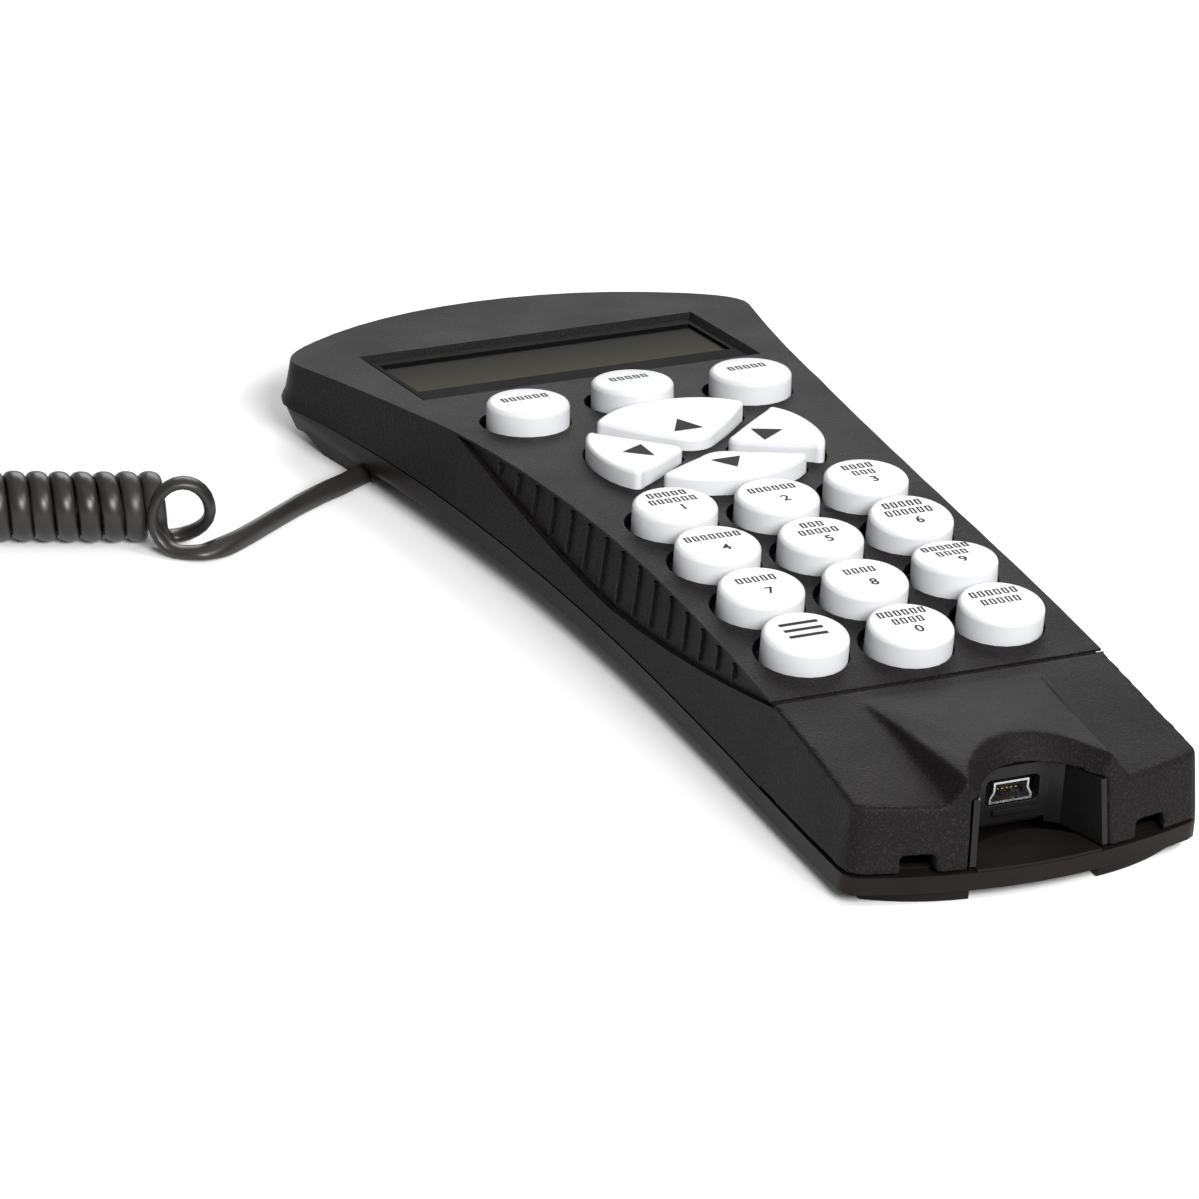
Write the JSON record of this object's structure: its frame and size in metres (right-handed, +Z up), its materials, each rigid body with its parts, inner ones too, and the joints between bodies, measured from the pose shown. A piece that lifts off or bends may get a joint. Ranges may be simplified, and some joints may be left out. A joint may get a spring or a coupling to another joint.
{
  "type": "telescope hand controller",
  "caption": "Handheld telescope controller with a recessed display, round number keys, a four-way pad, a service port in a notch and a curly cord.",
  "frame": {"origin": "middle of the handset's footprint on the table it lies on, cord left out", "axes": "+Y from the port end to the display end, +Z up from the table, +X to the right seen from the keys"},
  "size_m": [0.1918, 0.256, 0.0281],
  "materials": {
    "casing": "fine matt grain, dark grey",
    "rear_casing": "smooth satin, brownish black",
    "key": "smooth satin white",
    "window": "clear window with a dark printed border",
    "steel": "plain bright plating",
    "display": "olive grey liquid crystal panel",
    "light": "white diffuser and connector plastic",
    "board": "green solder mask",
    "silicone": "translucent white silicone",
    "black_plastic": "moulded black",
    "gold": "gold plated contacts",
    "rubber": "soft black boot",
    "cord": "smooth black jacket",
    "plug": "clear modular plug"
  },
  "bodies": {
    "handset": {"front_shell": "casing", "port_liner": "black_plastic", "rear_shell": "rear_casing", "foot_left": "rear_casing", "foot_right": "rear_casing", "display_window": "window", "display_bezel": "steel", "display_glass": "display", "display_backlight": "light", "main_board": "board", "usb_board": "board", "keypad_mat": "silicone", "controller_chip": "black_plastic", "memory_chip": "black_plastic", "line_driver_chip": "black_plastic", "clock_crystal": "steel", "ribbon_socket_1": "light", "ribbon_socket_2": "light", "cord_header": "light", "usb_socket_shell": "steel", "usb_tongue": "black_plastic", "usb_contacts": "gold", "strain_relief": "rubber", "cord_lead": "cord", "cord_coil": "cord", "cord_tail": "cord", "cord_plug": "plug", "plug_contacts": "gold", "case_screw_1": "steel", "case_screw_2": "steel", "case_screw_3": "steel", "case_screw_4": "steel", "case_screw_5": "steel", "case_screw_6": "steel", "board_screw_1": "steel", "board_screw_2": "steel", "board_screw_3": "steel", "board_screw_4": "steel"},
    "key_1": {"key_1": "key"},
    "key_2": {"key_2": "key"},
    "key_3": {"key_3": "key"},
    "key_4": {"key_4": "key"},
    "key_5": {"key_5": "key"},
    "key_6": {"key_6": "key"},
    "key_7": {"key_7": "key"},
    "key_8": {"key_8": "key"},
    "key_9": {"key_9": "key"},
    "key_lower_left": {"key_lower_left": "key"},
    "key_0": {"key_0": "key"},
    "key_lower_right": {"key_lower_right": "key"},
    "key_top_left": {"key_top_left": "key"},
    "key_top_middle": {"key_top_middle": "key"},
    "key_top_right": {"key_top_right": "key"},
    "key_up": {"key_up": "key"},
    "key_left": {"key_left": "key"},
    "key_down": {"key_down": "key"},
    "key_right": {"key_right": "key"}
  },
  "joints": [
    {"name": "key_1_press", "type": "slide", "parent": "handset", "child": "key_1", "axis": [0, -0.0064, -1], "range_m": [0, 0.0015], "stiffness_N_per_m": 300, "springref_m": -0.0005},
    {"name": "key_2_press", "type": "slide", "parent": "handset", "child": "key_2", "axis": [0, -0.0028, -1], "range_m": [0, 0.0015], "stiffness_N_per_m": 300, "springref_m": -0.0005},
    {"name": "key_3_press", "type": "slide", "parent": "handset", "child": "key_3", "axis": [0, -0.0064, -1], "range_m": [0, 0.0015], "stiffness_N_per_m": 300, "springref_m": -0.0005},
    {"name": "key_4_press", "type": "slide", "parent": "handset", "child": "key_4", "axis": [0, 0.0194, -0.9998], "range_m": [0, 0.0015], "stiffness_N_per_m": 300, "springref_m": -0.0005},
    {"name": "key_5_press", "type": "slide", "parent": "handset", "child": "key_5", "axis": [0, 0.023, -0.9997], "range_m": [0, 0.0015], "stiffness_N_per_m": 300, "springref_m": -0.0005},
    {"name": "key_6_press", "type": "slide", "parent": "handset", "child": "key_6", "axis": [0, 0.0893, -0.996], "range_m": [0, 0.0015], "stiffness_N_per_m": 300, "springref_m": -0.0005},
    {"name": "key_7_press", "type": "slide", "parent": "handset", "child": "key_7", "axis": [0, 0.0451, -0.999], "range_m": [0, 0.0015], "stiffness_N_per_m": 300, "springref_m": -0.0005},
    {"name": "key_8_press", "type": "slide", "parent": "handset", "child": "key_8", "axis": [0, 0.0487, -0.9988], "range_m": [0, 0.0015], "stiffness_N_per_m": 300, "springref_m": -0.0005},
    {"name": "key_9_press", "type": "slide", "parent": "handset", "child": "key_9", "axis": [0, -0.0548, -0.9985], "range_m": [0, 0.0015], "stiffness_N_per_m": 300, "springref_m": -0.0005},
    {"name": "key_lower_left_press", "type": "slide", "parent": "handset", "child": "key_lower_left", "axis": [0, 0.0709, -0.9975], "range_m": [0, 0.0015], "stiffness_N_per_m": 300, "springref_m": -0.0005},
    {"name": "key_0_press", "type": "slide", "parent": "handset", "child": "key_0", "axis": [0, 0.0744, -0.9972], "range_m": [0, 0.0015], "stiffness_N_per_m": 300, "springref_m": -0.0005},
    {"name": "key_lower_right_press", "type": "slide", "parent": "handset", "child": "key_lower_right", "axis": [0, 0.0709, -0.9975], "range_m": [0, 0.0015], "stiffness_N_per_m": 300, "springref_m": -0.0005},
    {"name": "key_top_left_press", "type": "slide", "parent": "handset", "child": "key_top_left", "axis": [0, -0.0864, -0.9963], "range_m": [0, 0.0015], "stiffness_N_per_m": 300, "springref_m": -0.0005},
    {"name": "key_top_middle_press", "type": "slide", "parent": "handset", "child": "key_top_middle", "axis": [0, -0.1208, -0.9927], "range_m": [0, 0.0015], "stiffness_N_per_m": 300, "springref_m": -0.0005},
    {"name": "key_top_right_press", "type": "slide", "parent": "handset", "child": "key_top_right", "axis": [0, -0.0864, -0.9963], "range_m": [0, 0.0015], "stiffness_N_per_m": 300, "springref_m": -0.0005},
    {"name": "key_up_press", "type": "slide", "parent": "handset", "child": "key_up", "axis": [0, -0.0459, -0.9989], "range_m": [0, 0.0015], "stiffness_N_per_m": 300, "springref_m": -0.0005},
    {"name": "key_left_press", "type": "slide", "parent": "handset", "child": "key_left", "axis": [0, -0.0459, -0.9989], "range_m": [0, 0.0015], "stiffness_N_per_m": 300, "springref_m": -0.0005},
    {"name": "key_down_press", "type": "slide", "parent": "handset", "child": "key_down", "axis": [0, -0.0459, -0.9989], "range_m": [0, 0.0015], "stiffness_N_per_m": 300, "springref_m": -0.0005},
    {"name": "key_right_press", "type": "slide", "parent": "handset", "child": "key_right", "axis": [0, -0.0459, -0.9989], "range_m": [0, 0.0015], "stiffness_N_per_m": 300, "springref_m": -0.0005}
  ]
}
